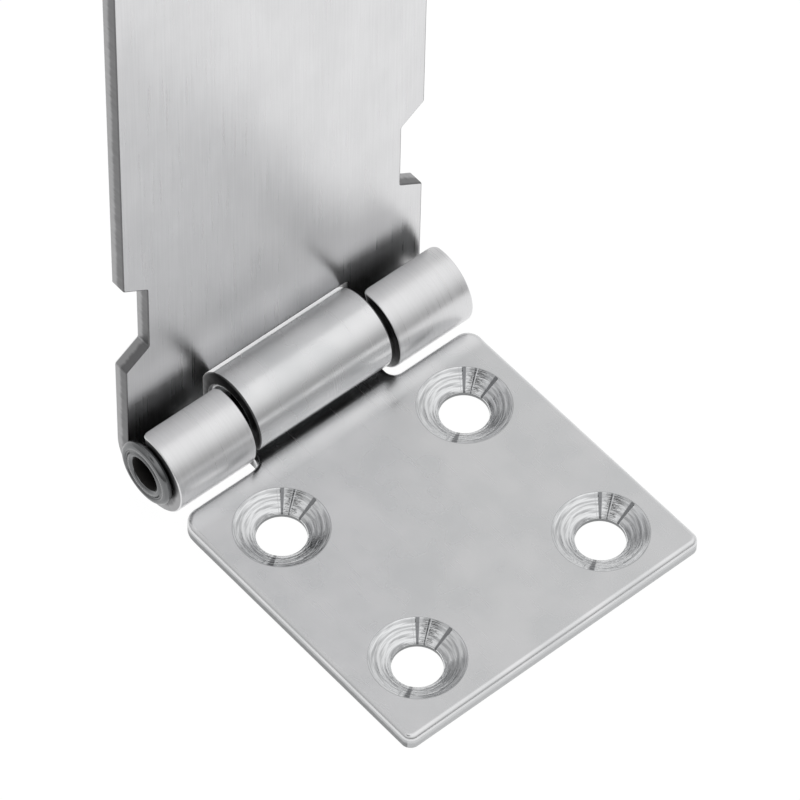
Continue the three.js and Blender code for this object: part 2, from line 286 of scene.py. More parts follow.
class Blank:
    """A flat sheet with rounded edges and holes, before it is rolled."""

    def __init__(self):
        self.mesh = bmesh.new()
        self.finish = self.mesh.faces.layers.int.new("finish")
        self.cut = self.mesh.verts.layers.float_vector.new("cut")
        self.rims = ([], [])  # the rings that bound the lower and the upper face

    def wall(self, rings, finishes):
        """Joins rings of the same length, from the lower face to the upper one."""
        for (low, high), number in zip(zip(rings, rings[1:]), finishes):
            for k in range(len(low)):
                j = (k + 1) % len(low)
                face = self.mesh.faces.new((low[k], low[j], high[j], high[k]))
                face[self.finish] = number
        self.rims[0].append(rings[0])
        self.rims[1].append(rings[-1])

    def border(self, points, under, over, polished):
        """The rounded outer edge; the polished rounding, "over" or "under", is finished as the
        faces are, and the rest is as the punch left it."""
        profile = edge_profile(under, over)
        rings = [[self.mesh.verts.new((p - n * inset).to_3d() + Vector((0, 0, height)))
                  for p, n in points] for inset, height in profile]
        lower = SHEET_FACE if polished == "under" else SHEARED_EDGE
        upper = SHEET_FACE if polished == "over" else SHEARED_EDGE
        numbers = [SHEET_FACE, *[lower] * EDGE_STEPS, SHEARED_EDGE, *[upper] * EDGE_STEPS, SHEET_FACE]
        self.wall(rings, numbers)

    def opening(self, points, rounding):
        """The rounded edge of a plain hole; its points run round it anticlockwise."""
        profile = edge_profile(rounding, rounding)
        rings = [[self.mesh.verts.new((p + n * inset).to_3d() + Vector((0, 0, height)))
                  for p, n in reversed(points)] for inset, height in profile]
        numbers = [SHEET_FACE, *[SHEARED_EDGE] * (len(profile) - 3), SHEET_FACE]
        self.wall(rings, numbers)

    def round_hole(self, x, y, profile):
        """A turned hole. The "cut" attribute holds each point's place from the hole's middle, so
        that the cutter's marks run round it."""
        rings = []
        for radius, height, _ in profile:
            ring = []
            for angle in reversed(around()):
                outward = radius * Vector((math.cos(angle), math.sin(angle), 0))
                vertex = self.mesh.verts.new(Vector((x, y, height)) + outward)
                vertex[self.cut] = outward + Vector((0, 0, height))
                ring.append(vertex)
            rings.append(ring)
        numbers = []
        for low, high in zip(profile, profile[1:]):
            flat = low[1] == high[1]
            numbers.append(SHEET_FACE if flat else CUT_CONE if high[2] else SHEARED_EDGE)
        self.wall(rings, numbers)

    def finish_mesh(self, name, bends=()):
        """Fills both faces, cuts the sheet across at each bend line, and returns the object."""
        for rings, up in zip(self.rims, (-1, 1)):
            edges = [self.mesh.edges.get((r[k - 1], r[k])) for r in rings for k in range(len(r))]
            bmesh.ops.triangle_fill(self.mesh, edges=edges, use_beauty=True, normal=(0, 0, up))
        for place in bends:
            everything = [*self.mesh.verts, *self.mesh.edges, *self.mesh.faces]
            bmesh.ops.bisect_plane(self.mesh, geom=everything, dist=ON_THE_LINE,
                                   plane_co=(0, place, 0), plane_no=(0, 1, 0))
        bmesh.ops.recalc_face_normals(self.mesh, faces=self.mesh.faces)
        for face in self.mesh.faces:
            face.smooth = True
        return piece_from(self.mesh, name)


# Geometry Nodes

def tree_with(name, sockets):
    """A geometry tree with one geometry going through, and its group input and output nodes."""
    tree = bpy.data.node_groups.new(name, "GeometryNodeTree")
    tree.interface.new_socket("Geometry", in_out="INPUT", socket_type="NodeSocketGeometry")
    for label, kind in sockets:
        tree.interface.new_socket(label, in_out="INPUT", socket_type=kind)
    tree.interface.new_socket("Geometry", in_out="OUTPUT", socket_type="NodeSocketGeometry")
    return tree, add(tree, "NodeGroupInput"), add(tree, "NodeGroupOutput")


def finished(tree, geometry, materials):
    """Realizes the geometry and gives each face the material of its finish number."""
    real = add(tree, "GeometryNodeRealizeInstances", {"Geometry": geometry})
    whole = add(tree, "GeometryNodeSetMaterial", {
        "Geometry": real.outputs["Geometry"], "Material": materials[SHEET_FACE]})
    painted = whole.outputs["Geometry"]
    for number, material in list(enumerate(materials))[1:]:
        finish = add(tree, "GeometryNodeInputNamedAttribute", {"Name": "finish"}, data_type="INT")
        chosen = add(tree, "FunctionNodeCompare", {
            FIRST_NUMBER: finish.outputs["Attribute"], SECOND_NUMBER: number},
            data_type="INT", operation="EQUAL")
        step = add(tree, "GeometryNodeSetMaterial", {
            "Geometry": painted, "Selection": chosen.outputs["Result"], "Material": material})
        painted = step.outputs["Geometry"]
    return painted


def flat_place_kept(tree, geometry):
    """The place of each point on the flat blank, and the geometry that keeps it for its grain."""
    place = add(tree, "GeometryNodeInputPosition").outputs["Position"]
    kept = add(tree, "GeometryNodeStoreNamedAttribute", {
        "Geometry": geometry, "Name": "place", "Value": place},
        data_type="FLOAT_VECTOR", domain="POINT")
    return place, kept.outputs["Geometry"]


def rolled_sheet_tree(materials):
    """Rolls a flat blank round the pin. Across the blank is X, its Y is the distance from the
    start of the roll, negative along the roll, and its Z is the height above the outer face.
    The radius eases from the start of the roll to its tip, late where the lag is above 1, and
    the angle grows evenly."""
    tree, given, result = tree_with("rolled sheet", [
        ("Pin axis", "NodeSocketVector"), ("Start radius", "NodeSocketFloat"),
        ("Tip radius", "NodeSocketFloat"), ("Start angle", "NodeSocketFloat"),
        ("Wrap", "NodeSocketFloat"), ("Turn side", "NodeSocketFloat"),
        ("Roll length", "NodeSocketFloat"), ("Lag", "NodeSocketFloat"),
        ("Rise", "NodeSocketFloat"), ("Rise from", "NodeSocketFloat"),
        ("Rise to", "NodeSocketFloat")])
    sizes = given.outputs
    flat_place, kept = flat_place_kept(tree, sizes["Geometry"])
    place = add(tree, "ShaderNodeSeparateXYZ", {"Vector": flat_place}).outputs
    along = add(tree, "ShaderNodeMath", {0: place["Y"], 1: -1.0}, operation="MULTIPLY")
    share = add(tree, "ShaderNodeMath", {0: along.outputs[0], 1: sizes["Roll length"]},
                operation="DIVIDE", use_clamp=True)
    flat = add(tree, "ShaderNodeMath", {0: place["Y"], 1: 0.0}, operation="MAXIMUM")
    late = add(tree, "ShaderNodeMath", {0: share.outputs[0], 1: sizes["Lag"]}, operation="POWER")
    half_turn = add(tree, "ShaderNodeMath", {0: late.outputs[0], 1: math.pi}, operation="MULTIPLY")
    cosine = add(tree, "ShaderNodeMath", {0: half_turn.outputs[0]}, operation="COSINE")
    rolled_radius = add(tree, "ShaderNodeMapRange", {
        "Value": cosine.outputs[0], "From Min": 1.0, "From Max": -1.0,
        "To Min": sizes["Start radius"], "To Max": sizes["Tip radius"]})
    lift = add(tree, "ShaderNodeMapRange", {
        "Value": flat.outputs[0], "From Min": sizes["Rise from"], "From Max": sizes["Rise to"],
        "To Min": 0.0, "To Max": sizes["Rise"]}, interpolation_type="SMOOTHSTEP")
    outer = add(tree, "ShaderNodeMath", {0: rolled_radius.outputs["Result"],
                                        1: lift.outputs["Result"]}, operation="ADD")
    radius = add(tree, "ShaderNodeMath", {0: outer.outputs[0], 1: place["Z"]}, operation="SUBTRACT")
    signed_wrap = add(tree, "ShaderNodeMath", {0: sizes["Wrap"], 1: sizes["Turn side"]},
                      operation="MULTIPLY")
    angle = add(tree, "ShaderNodeMath", {0: share.outputs[0], 1: signed_wrap.outputs[0],
                                         2: sizes["Start angle"]}, operation="MULTIPLY_ADD")
    side_flat = add(tree, "ShaderNodeMath", {0: flat.outputs[0], 1: sizes["Turn side"]},
                    operation="MULTIPLY")
    backwards = add(tree, "ShaderNodeMath", {0: side_flat.outputs[0], 1: -1.0},
                    operation="MULTIPLY")
    straight = add(tree, "ShaderNodeCombineXYZ", {
        "X": place["X"], "Y": radius.outputs[0], "Z": backwards.outputs[0]})
    bent = add(tree, "ShaderNodeVectorRotate", {
        "Vector": straight.outputs["Vector"], "Angle": angle.outputs[0]}, rotation_type="X_AXIS")
    placed = add(tree, "ShaderNodeVectorMath", {
        0: bent.outputs["Vector"], 1: sizes["Pin axis"]}, operation="ADD")
    moved = add(tree, "GeometryNodeSetPosition", {
        "Geometry": kept, "Position": placed.outputs["Vector"]})
    mirrored = add(tree, "FunctionNodeCompare", {0: sizes["Turn side"], 1: 0.0},
                   operation="GREATER_THAN")
    outward = add(tree, "GeometryNodeFlipFaces", {
        "Mesh": moved.outputs["Geometry"], "Selection": mirrored.outputs["Result"]})
    tree.links.new(finished(tree, outward.outputs["Mesh"], materials), result.inputs["Geometry"])
    return tree


def flat_sheet_tree(materials):
    """Moves a flat blank to its middle."""
    tree, given, result = tree_with("flat sheet", [("Middle", "NodeSocketVector")])
    kept = flat_place_kept(tree, given.outputs["Geometry"])[1]
    moved = add(tree, "GeometryNodeSetPosition", {
        "Geometry": kept, "Offset": given.outputs["Middle"]})
    tree.links.new(finished(tree, moved.outputs["Geometry"], materials), result.inputs["Geometry"])
    return tree


def swept_rod_tree(material):
    """Sweeps a round bar along the line that goes in."""
    tree, given, result = tree_with("bent rod", [("Bar diameter", "NodeSocketFloat")])
    radius = add(tree, "ShaderNodeMath", {0: given.outputs["Bar diameter"], 1: 0.5},
                 operation="MULTIPLY")
    section = add(tree, "GeometryNodeCurvePrimitiveCircle", {
        "Resolution": ROD_SIDES, "Radius": radius.outputs[0]})
    line = add(tree, "GeometryNodeMeshToCurve", {"Mesh": given.outputs["Geometry"]})
    bar = add(tree, "GeometryNodeCurveToMesh", {
        "Curve": line.outputs["Curve"], "Profile Curve": section.outputs["Curve"],
        "Fill Caps": True})
    tree.links.new(finished(tree, bar.outputs["Mesh"], [material]), result.inputs["Geometry"])
    return tree


def shaped(piece, tree, sizes):
    """Runs a tree on the piece with these sizes, and keeps the result as its plain mesh."""
    modifier = piece.modifiers.new(tree.name, "NODES")
    modifier.node_group = tree
    for item in tree.interface.items_tree:
        if item.in_out == "INPUT" and item.name in sizes:
            modifier[item.identifier] = sizes[item.name]
    view = bpy.context.evaluated_depsgraph_get()
    data = bpy.data.meshes.new_from_object(piece.evaluated_get(view), depsgraph=view)
    piece.modifiers.remove(modifier)
    piece.data = data
    return piece


# Materials

def material_with(name, colour, roughness):
    """A metal's new material, its node tree and its shader node."""
    material = bpy.data.materials.new(name)
    material.use_nodes = True
    shader = material.node_tree.nodes["Principled BSDF"]
    shader.inputs["Base Color"].default_value = linear(colour)
    shader.inputs["Metallic"].default_value = 1.0
    shader.inputs["Roughness"].default_value = roughness
    return material, material.node_tree, shader


def mixed(tree, share, colours):
    """A colour that goes from the first to the second as the share goes from 0 to 1."""
    tint = add(tree, "ShaderNodeMix", {
        0: share, FIRST_COLOUR: linear(colours[0]), SECOND_COLOUR: linear(colours[1])},
        data_type="RGBA")
    return tint.outputs[MIXED_COLOUR]


def clouded(tree, place, size, colours):
    """How far, from 0 to 1, handled metal has clouded over in patches of this size, and a colour
    that drifts between two with it."""
    cloud = add(tree, "ShaderNodeTexNoise", {"Vector": place, "Scale": 1 / size, "Detail": 2.0})
    share = add(tree, "ShaderNodeMapRange", {
        "Value": cloud.outputs["Fac"], "From Min": 0.25, "From Max": 0.75},
        interpolation_type="SMOOTHSTEP")
    return share.outputs["Result"], mixed(tree, share.outputs["Result"], colours)


def satin_sheet():
    """304 sheet, ground fine and then polished to a satin: light grey, with soft reflections that
    are a little cloudy and wavy, and a few hairline scratches."""
    material, tree, shader = material_with("satin polished stainless sheet", "dadbdc", 0.26)
    place = add(tree, "ShaderNodeAttribute", attribute_name="place").outputs["Vector"]
    cloud, tint = clouded(tree, place, 6 * MM, ("d3d4d5", "dededf"))
    tree.links.new(tint, shader.inputs["Base Color"])
    rough = add(tree, "ShaderNodeMapRange", {"Value": cloud, "To Min": 0.3, "To Max": 0.22})
    # scratches are microns wide; these are drawn 0.15 mm wide so that they show
    along = add(tree, "ShaderNodeMapping", {
        "Vector": place, "Scale": (1 / (0.15 * MM), 1 / (6 * MM), 1 / (0.15 * MM)),
        "Rotation": (0, 0, math.radians(24))})
    lines = add(tree, "ShaderNodeTexNoise", {
        "Vector": along.outputs["Vector"], "Scale": 1.0, "Detail": 1.0})
    scratch = add(tree, "ShaderNodeMapRange", {
        "Value": lines.outputs["Fac"], "From Min": 0.7, "From Max": 0.78, "To Max": 0.12})
    scratched = add(tree, "ShaderNodeMath", {
        0: rough.outputs["Result"], 1: scratch.outputs["Result"]}, operation="ADD")
    tree.links.new(scratched.outputs[0], shader.inputs["Roughness"])
    waves = add(tree, "ShaderNodeTexNoise", {"Vector": place, "Scale": 1 / (10 * MM), "Detail": 0.0})
    ripple = add(tree, "ShaderNodeBump", {
        "Height": waves.outputs["Fac"], "Distance": 40e-6, "Strength": 1.0})
    tree.links.new(ripple.outputs["Normal"], shader.inputs["Normal"])
    return material


def brushed_sheet():
    """304 sheet brushed along its length: light grey, with straight fine lines that spread a
    reflection sideways and follow the metal round the knuckles, and faint smudges."""
    material, tree, shader = material_with("brushed stainless sheet", "dadadb", 0.3)
    place = add(tree, "ShaderNodeAttribute", attribute_name="place").outputs["Vector"]
    smudges = add(tree, "ShaderNodeMapping", {"Vector": place, "Scale": (1.0, 0.6, 1.0)})
    tint = clouded(tree, smudges.outputs["Vector"], 5 * MM, ("d9d9da", "dfdfe0"))[1]
    # the belt's lines are 0.05 mm apart; these are drawn at 0.25 mm so that they show
    fine = add(tree, "ShaderNodeMapping", {
        "Vector": place, "Scale": (1 / (0.25 * MM), 1 / (12 * MM), 1 / (2 * MM))})
    lines = add(tree, "ShaderNodeTexNoise", {
        "Vector": fine.outputs["Vector"], "Scale": 1.0, "Detail": 2.0})
    streak = add(tree, "ShaderNodeMapRange", {
        "Value": lines.outputs["Fac"], **NOISE_RANGE, "To Min": 0.94, "To Max": 1.04})
    streaked = add(tree, "ShaderNodeVectorMath", {
        0: tint, 1: streak.outputs["Result"]}, operation="MULTIPLY")
    tree.links.new(streaked.outputs["Vector"], shader.inputs["Base Color"])
    rough = add(tree, "ShaderNodeMapRange", {
        "Value": lines.outputs["Fac"], **NOISE_RANGE, "To Min": 0.25, "To Max": 0.36})
    tree.links.new(rough.outputs["Result"], shader.inputs["Roughness"])
    grain = add(tree, "ShaderNodeBump", {
        "Height": lines.outputs["Fac"], "Distance": 3e-6, "Strength": 1.0})
    tree.links.new(grain.outputs["Normal"], shader.inputs["Normal"])
    return material


def sheared_edge(name, under, over):
    """An edge that the punch cut. Across its thickness it has two bands of different grey with an
    uneven line between them, one that the punch wiped and one where the sheet broke."""
    material, tree, shader = material_with(name, over, 0.36)
    place = add(tree, "ShaderNodeAttribute", attribute_name="place").outputs["Vector"]
    tears = add(tree, "ShaderNodeMapping", {
        "Vector": place, "Scale": (1 / (0.5 * MM), 1 / (0.5 * MM), 1 / (2.5 * MM))})
    lines = add(tree, "ShaderNodeTexNoise", {
        "Vector": tears.outputs["Vector"], "Scale": 1.0, "Detail": 3.0})
    height = add(tree, "ShaderNodeSeparateXYZ", {"Vector": place}).outputs["Z"]
    uneven = add(tree, "ShaderNodeMath", {
        0: lines.outputs["Fac"], 1: 0.5 * MM, 2: height}, operation="MULTIPLY_ADD")
    band = add(tree, "ShaderNodeMapRange", {
        "Value": uneven.outputs[0], "From Min": 0.95 * MM, "From Max": 1.45 * MM},
        interpolation_type="SMOOTHSTEP")
    tint = mixed(tree, band.outputs["Result"], (under, over))
    tree.links.new(tint, shader.inputs["Base Color"])
    rough = add(tree, "ShaderNodeMapRange", {
        "Value": lines.outputs["Fac"], **NOISE_RANGE, "To Min": 0.28, "To Max": 0.46})
    tree.links.new(rough.outputs["Result"], shader.inputs["Roughness"])
    pits = add(tree, "ShaderNodeBump", {
        "Height": lines.outputs["Fac"], "Distance": 12e-6, "Strength": 1.0})
    tree.links.new(pits.outputs["Normal"], shader.inputs["Normal"])
    return material


def cut_cone():
    """The countersink, turned bright by its cutter: light and burnished darker rings round the
    hole, and a few dark marks across them where the cutter chattered."""
    material, tree, shader = material_with("turned countersink", "dedfe0", 0.13)
    cut = add(tree, "ShaderNodeAttribute", attribute_name="cut").outputs["Vector"]
    flat = add(tree, "ShaderNodeVectorMath", {0: cut, 1: (1.0, 1.0, 0.0)}, operation="MULTIPLY")
    radius = add(tree, "ShaderNodeVectorMath", {0: flat.outputs["Vector"]}, operation="LENGTH")
    facing = add(tree, "ShaderNodeVectorMath", {0: flat.outputs["Vector"]}, operation="NORMALIZE")
    # the cutter's rings are 0.1 mm apart; these are drawn at 0.3 mm so that they show
    turns = add(tree, "ShaderNodeMath", {0: radius.outputs["Value"], 1: 1 / (0.3 * MM)},
                operation="MULTIPLY")
    outwards = add(tree, "ShaderNodeCombineXYZ", {"Z": turns.outputs[0]})
    # a noise that changes fast outwards and slowly round the hole makes broken rings
    ring_place = add(tree, "ShaderNodeVectorMath", {
        0: facing.outputs["Vector"], 1: (1.2, 1.2, 1.2), 2: outwards.outputs["Vector"]},
        operation="MULTIPLY_ADD")
    rings = add(tree, "ShaderNodeTexNoise", {
        "Vector": ring_place.outputs["Vector"], "Scale": 1.0, "Detail": 3.0})
    spokes = add(tree, "ShaderNodeTexNoise", {
        "Vector": facing.outputs["Vector"], "Scale": 3.2, "Detail": 2.0})
    mark = add(tree, "ShaderNodeMapRange", {
        "Value": spokes.outputs["Fac"], "From Min": 0.60, "From Max": 0.64})
    chatter = add(tree, "ShaderNodeBump", {
        "Height": mark.outputs["Result"], "Distance": 20e-6, "Strength": 1.0})
    ridges = add(tree, "ShaderNodeBump", {
        "Height": rings.outputs["Fac"], "Distance": 0.12 * MM, "Strength": 1.0,
        "Normal": chatter.outputs["Normal"]})
    tree.links.new(ridges.outputs["Normal"], shader.inputs["Normal"])
    burnished = add(tree, "ShaderNodeMapRange", {
        "Value": rings.outputs["Fac"], "From Min": 0.42, "From Max": 0.66, "To Max": 0.55},
        interpolation_type="SMOOTHSTEP")
    darker = add(tree, "ShaderNodeMath", {
        0: burnished.outputs["Result"], 1: mark.outputs["Result"]}, operation="MAXIMUM")
    tint = mixed(tree, darker.outputs[0], ("dedfe0", "808183"))
    tree.links.new(tint, shader.inputs["Base Color"])
    return material


def drawn_tube():
    """The pin's tube, drawn and then rolled over at its end: darker than the sheets, glossy in
    patches, with rings that the rolling tool left."""
    material, tree, shader = material_with("rolled steel tube", "707172", 0.24)
    place = add(tree, "ShaderNodeTexCoord").outputs["Object"]
    centred = add(tree, "ShaderNodeMapping", {"Vector": place, "Location": (0, -axis.y, -axis.z)})
    radial = add(tree, "ShaderNodeVectorMath", {
        0: centred.outputs["Vector"], 1: (0.0, 1.0, 1.0)}, operation="MULTIPLY")
    radius = add(tree, "ShaderNodeVectorMath", {0: radial.outputs["Vector"]}, operation="LENGTH")
    wander = add(tree, "ShaderNodeTexNoise", {"Vector": place, "Scale": 1 / (3 * MM)})
    turns = add(tree, "ShaderNodeMath", {0: radius.outputs["Value"], 1: 1 / (0.4 * MM),
                                         2: wander.outputs["Fac"]}, operation="MULTIPLY_ADD")
    rings = add(tree, "ShaderNodeTexNoise", {"W": turns.outputs[0], "Scale": 1.0, "Detail": 1.0},
                noise_dimensions="1D")
    rough = add(tree, "ShaderNodeMapRange", {
        "Value": wander.outputs["Fac"], **NOISE_RANGE, "To Min": 0.16, "To Max": 0.3})
    tree.links.new(rough.outputs["Result"], shader.inputs["Roughness"])
    ridges = add(tree, "ShaderNodeBump", {
        "Height": rings.outputs["Fac"], "Distance": 0.12 * MM, "Strength": 1.0})
    tree.links.new(ridges.outputs["Normal"], shader.inputs["Normal"])
    return material


def bore_shade_and_scale():
    """The inside of the drawn tube, which no tool reached: nearly black, as painted shade deep in the
    bore together with drawing scale, dull, and rough along the bore."""
    material, tree, shader = material_with("scaled tube bore", "2b2a29", 0.6)
    place = add(tree, "ShaderNodeTexCoord").outputs["Object"]
    along = add(tree, "ShaderNodeMapping", {
        "Vector": place, "Scale": (1 / (3 * MM), 1 / (0.3 * MM), 1 / (0.3 * MM))})
    scale = add(tree, "ShaderNodeTexNoise", {
        "Vector": along.outputs["Vector"], "Scale": 1.0, "Detail": 3.0})
    rough = add(tree, "ShaderNodeMapRange", {
        "Value": scale.outputs["Fac"], **NOISE_RANGE, "To Min": 0.5, "To Max": 0.75})
    tree.links.new(rough.outputs["Result"], shader.inputs["Roughness"])
    flakes = add(tree, "ShaderNodeBump", {
        "Height": scale.outputs["Fac"], "Distance": 20e-6, "Strength": 1.0})
    tree.links.new(flakes.outputs["Normal"], shader.inputs["Normal"])
    return material


def polished_rod():
    """The staple's rod, ground and polished after bending: bright, with faint smears."""
    material, tree, shader = material_with("polished stainless rod", "cfd0d1", 0.2)
    place = add(tree, "ShaderNodeTexCoord").outputs["Object"]
    smears = add(tree, "ShaderNodeTexNoise", {"Vector": place, "Scale": 1 / (2 * MM), "Detail": 4.0})
    rough = add(tree, "ShaderNodeMapRange", {
        "Value": smears.outputs["Fac"], **NOISE_RANGE, "To Min": 0.16, "To Max": 0.28})
    tree.links.new(rough.outputs["Result"], shader.inputs["Roughness"])
    waves = add(tree, "ShaderNodeBump", {
        "Height": smears.outputs["Fac"], "Distance": 4e-6, "Strength": 1.0})
    tree.links.new(waves.outputs["Normal"], shader.inputs["Normal"])
    return material


def backlit_table():
    """White acrylic lit from below, so that it stays white right up to the metal."""
    material = bpy.data.materials.new("backlit white table")
    material.use_nodes = True
    shader = material.node_tree.nodes["Principled BSDF"]
    shader.inputs["Base Color"].default_value = (0.06, 0.06, 0.06, 1.0)
    shader.inputs["Roughness"].default_value = 1.0
    shader.inputs["Specular IOR Level"].default_value = 0.0
    shader.inputs["Emission Color"].default_value = (1.0, 1.0, 1.0, 1.0)
    shader.inputs["Emission Strength"].default_value = 0.97
    return material


# Pieces

def make_leaf(materials):
    """The leaf with its centre knuckle, cut in one piece."""
    back = axis.y - (leaf_low.y + LEAF_LENGTH)
    front = axis.y - leaf_low.y
    tab = CENTRE_KNUCKLE / 2
    length = LEAF_WRAP * ((leaf_roll_radius + tip_radius) / 2 - SHEET / 2)
    blank = Blank()
    blank.border(outline([
        (-leaf_half, back, LEAF_BACK_CORNER), (-tab, back, ROOT_FILLET), (-tab, -length, TAB_CORNER),
        (tab, -length, TAB_CORNER), (tab, back, ROOT_FILLET), (leaf_half, back, LEAF_BACK_CORNER),
        (leaf_half, front, LEAF_CORNER), (-leaf_half, front, LEAF_CORNER)]),
        LEAF_UNDER_ROUND, LEAF_EDGE_ROUND, "over")
    # faces of the front edge get a lighter copy of the edge colours, a painted highlight, while the
    # long sides keep the darker copy, painted shade
    for face in blank.mesh.faces:
        middle = face.calc_center_median()
        if face[blank.finish] == SHEARED_EDGE and middle.y > front - LEAF_CORNER / 2:
            face[blank.finish] = LIT_FRONT_EDGE
        # the centre knuckle's edges, in the gaps between knuckles and under the barrel, get a
        # near-black copy: painted shade
        if face[blank.finish] == SHEARED_EDGE and middle.y < back - ROOT_FILLET:
            face[blank.finish] = SHADED_KNUCKLE_EDGE
    for x in (-LEAF_HOLES[0] / 2, LEAF_HOLES[0] / 2):
        for y in (-LEAF_HOLES[1] / 2, LEAF_HOLES[1] / 2):
            blank.round_hole(x, axis.y - y, cone_profile())
    rolls = steps(-length, 0, math.ceil(LEAF_WRAP / ROLL_STEP))
    margin = steps(back, back + MARGIN_WIDTH, MARGIN_STEPS)
    leaf = blank.finish_mesh("leaf_with_centre_knuckle", rolls + margin)
    return shaped(leaf, rolled_sheet_tree(materials), {
        "Pin axis": axis, "Start radius": leaf_roll_radius, "Tip radius": tip_radius,
        "Start angle": math.radians(-90), "Wrap": LEAF_WRAP, "Turn side": 1.0,
        "Roll length": length, "Lag": LEAF_LAG, "Rise": MARGIN_RISE, "Rise from": back,
        "Rise to": back + MARGIN_WIDTH})


def make_strap(materials):
    """The strap with its outer knuckles, waist and slot."""
    tab = CENTRE_KNUCKLE / 2 + KNUCKLE_GAP
    end = strap_high.z - axis.z
    length = STRAP_WRAP * ((roll_radius + tip_radius) / 2 - SHEET / 2)
    waist = half_width - WAIST_DEPTH
    low = WAIST_HEIGHT - WAIST_LENGTH / 2
    high = WAIST_HEIGHT + WAIST_LENGTH / 2
    notch = math.sqrt((leaf_roll_radius + NOTCH_CLEARANCE) ** 2 - (roll_radius - SHEET) ** 2)
    corner = SHEAR_CORNER
    right_side = [
        (tab, notch, corner), (tab, -length, TAB_CORNER), (half_width, -length, TAB_CORNER),
        (half_width, low - WAIST_SHOULDER, corner), (waist, low, corner), (waist, high, corner),
        (half_width, high + WAIST_SHOULDER, corner), (half_width, end, STRAP_CORNER)]
    left_side = [(-x, y, radius) for x, y, radius in reversed(right_side)]
    blank = Blank()
    blank.border(outline(right_side + left_side), STRAP_EDGE_ROUND, STRAP_EDGE_ROUND, "under")
    slot_width = ROD + 2 * SLOT_CLEARANCE
    slot_length = LOOP_SPACING + slot_width
    slot_low = end - SLOT_END_MARGIN - slot_length
    side = slot_width / 2
    rounding = side * SLOT_END_SHARE
    blank.opening(outline([
        (-side, slot_low, rounding), (side, slot_low, rounding),
        (side, slot_low + slot_length, rounding), (-side, slot_low + slot_length, rounding)]),
        STRAP_EDGE_ROUND)
    rolls = steps(-length, 0, math.ceil(STRAP_WRAP / ROLL_STEP))
    strap = blank.finish_mesh("strap_with_outer_knuckles", rolls)
    return shaped(strap, rolled_sheet_tree(materials), {
        "Pin axis": axis, "Start radius": roll_radius, "Tip radius": tip_radius,
        "Start angle": 0.0, "Wrap": STRAP_WRAP, "Turn side": -1.0, "Roll length": length,
        "Lag": 1.0, "Rise": 0.0, "Rise from": 0.0, "Rise to": 1.0})


def turned(name, profile):
    """Turns a closed profile of (radius, height) about Z. A stretch of it on the axis makes no
    faces."""
    mesh = bmesh.new()
    rings = [[mesh.verts.new((radius * math.cos(a), radius * math.sin(a), height))
              for a in around()] for radius, height in profile]
    for i, ring in enumerate(rings):
        j = (i + 1) % len(rings)
        if profile[i][0] == profile[j][0] == 0:
            continue
        for k in range(TURN_STEPS):
            n = (k + 1) % TURN_STEPS
            mesh.faces.new((ring[k], ring[n], rings[j][n], rings[j][k])).smooth = True
    bmesh.ops.remove_doubles(mesh, verts=mesh.verts, dist=SAME_POINT)
    bmesh.ops.recalc_face_normals(mesh, faces=mesh.faces)
    return piece_from(mesh, name)


def pin_half(head, depth):
    """Half of the pin's wall, from its middle out over one end and back down the bore."""
    seat = half_width + HEAD_CLEARANCE
    end = seat + depth
    rim = depth / 2
    root = PIN_ROOT_ROUND
    mouth = min(PIN_MOUTH, head - 2 * rim - RIM_GROOVE_SPACE) / 2
    groove = ((head / 2 - rim + mouth) / 2, end)
    bell = mouth - PIN_BORE / 2
    wall = [(PIN_DIAMETER / 2, 0.0), (PIN_DIAMETER / 2, seat - root)]
    wall += arc((PIN_DIAMETER / 2 + root, seat - root), root, root, 180, 90, 6)
    wall += arc((head / 2 - rim, seat + rim), rim, rim, -90, 90, 16)
    wall += arc(groove, RIM_GROOVE_WIDTH / 2, RIM_GROOVE_DEPTH, 0, -180, 8)
    wall += arc((mouth, end - PIN_MOUTH_DEPTH), bell, PIN_MOUTH_DEPTH, 90, 180, 12)
    return wall + [(PIN_BORE / 2, 0.0)]


def make_pin(tube, bore):
    """The tube, belled out into a rolled rim at its near end and set down at its far end."""
    head_depth = -half_width - HEAD_CLEARANCE - pin_low.x
    near = [(r, -h) for r, h in reversed(pin_half(PIN_HEAD, head_depth))]
    pin = turned("hollow_hinge_pin", pin_half(PIN_SET_END, PIN_SET_DEPTH) + near[1:-1])
    pin.data.materials.append(tube)
    pin.data.materials.append(bore)
    # faces nearer the axis than this get the bore's near-black colour: painted shade with scale
    bright = (PIN_BORE + BORE_SHADE_SHARE * (PIN_MOUTH - PIN_BORE)) / 2
    for polygon in pin.data.polygons:
        radius = max(pin.data.vertices[i].co.xy.length for i in polygon.vertices)
        polygon.material_index = int(radius < bright)
    pin.data.transform(Matrix.Translation(axis) @ Matrix.Rotation(math.pi / 2, 4, "Y"))
    return pin


def make_plate(materials):
    """The staple's plate, countersunk like the leaf."""
    half = (plate_high - plate_low) / 2
    blank = Blank()
    blank.border(outline([
        (-half.x, -half.y, PLATE_CORNER), (half.x, -half.y, PLATE_CORNER),
        (half.x, half.y, PLATE_CORNER), (-half.x, half.y, PLATE_CORNER)]),
        LEAF_UNDER_ROUND, LEAF_EDGE_ROUND, "over")
    for x in (-PLATE_HOLES[0] / 2, PLATE_HOLES[0] / 2):
        for y in (-PLATE_HOLES[1] / 2, PLATE_HOLES[1] / 2):
            blank.round_hole(x, y, cone_profile())
    for y in (-LOOP_SPACING / 2, LOOP_SPACING / 2):
        blank.round_hole(0.0, y, rivet_profile())
    plate = blank.finish_mesh("staple_plate_countersunk")
    return shaped(plate, flat_sheet_tree(materials), {
        "Middle": (plate_centre.x, plate_centre.y, 0.0)})


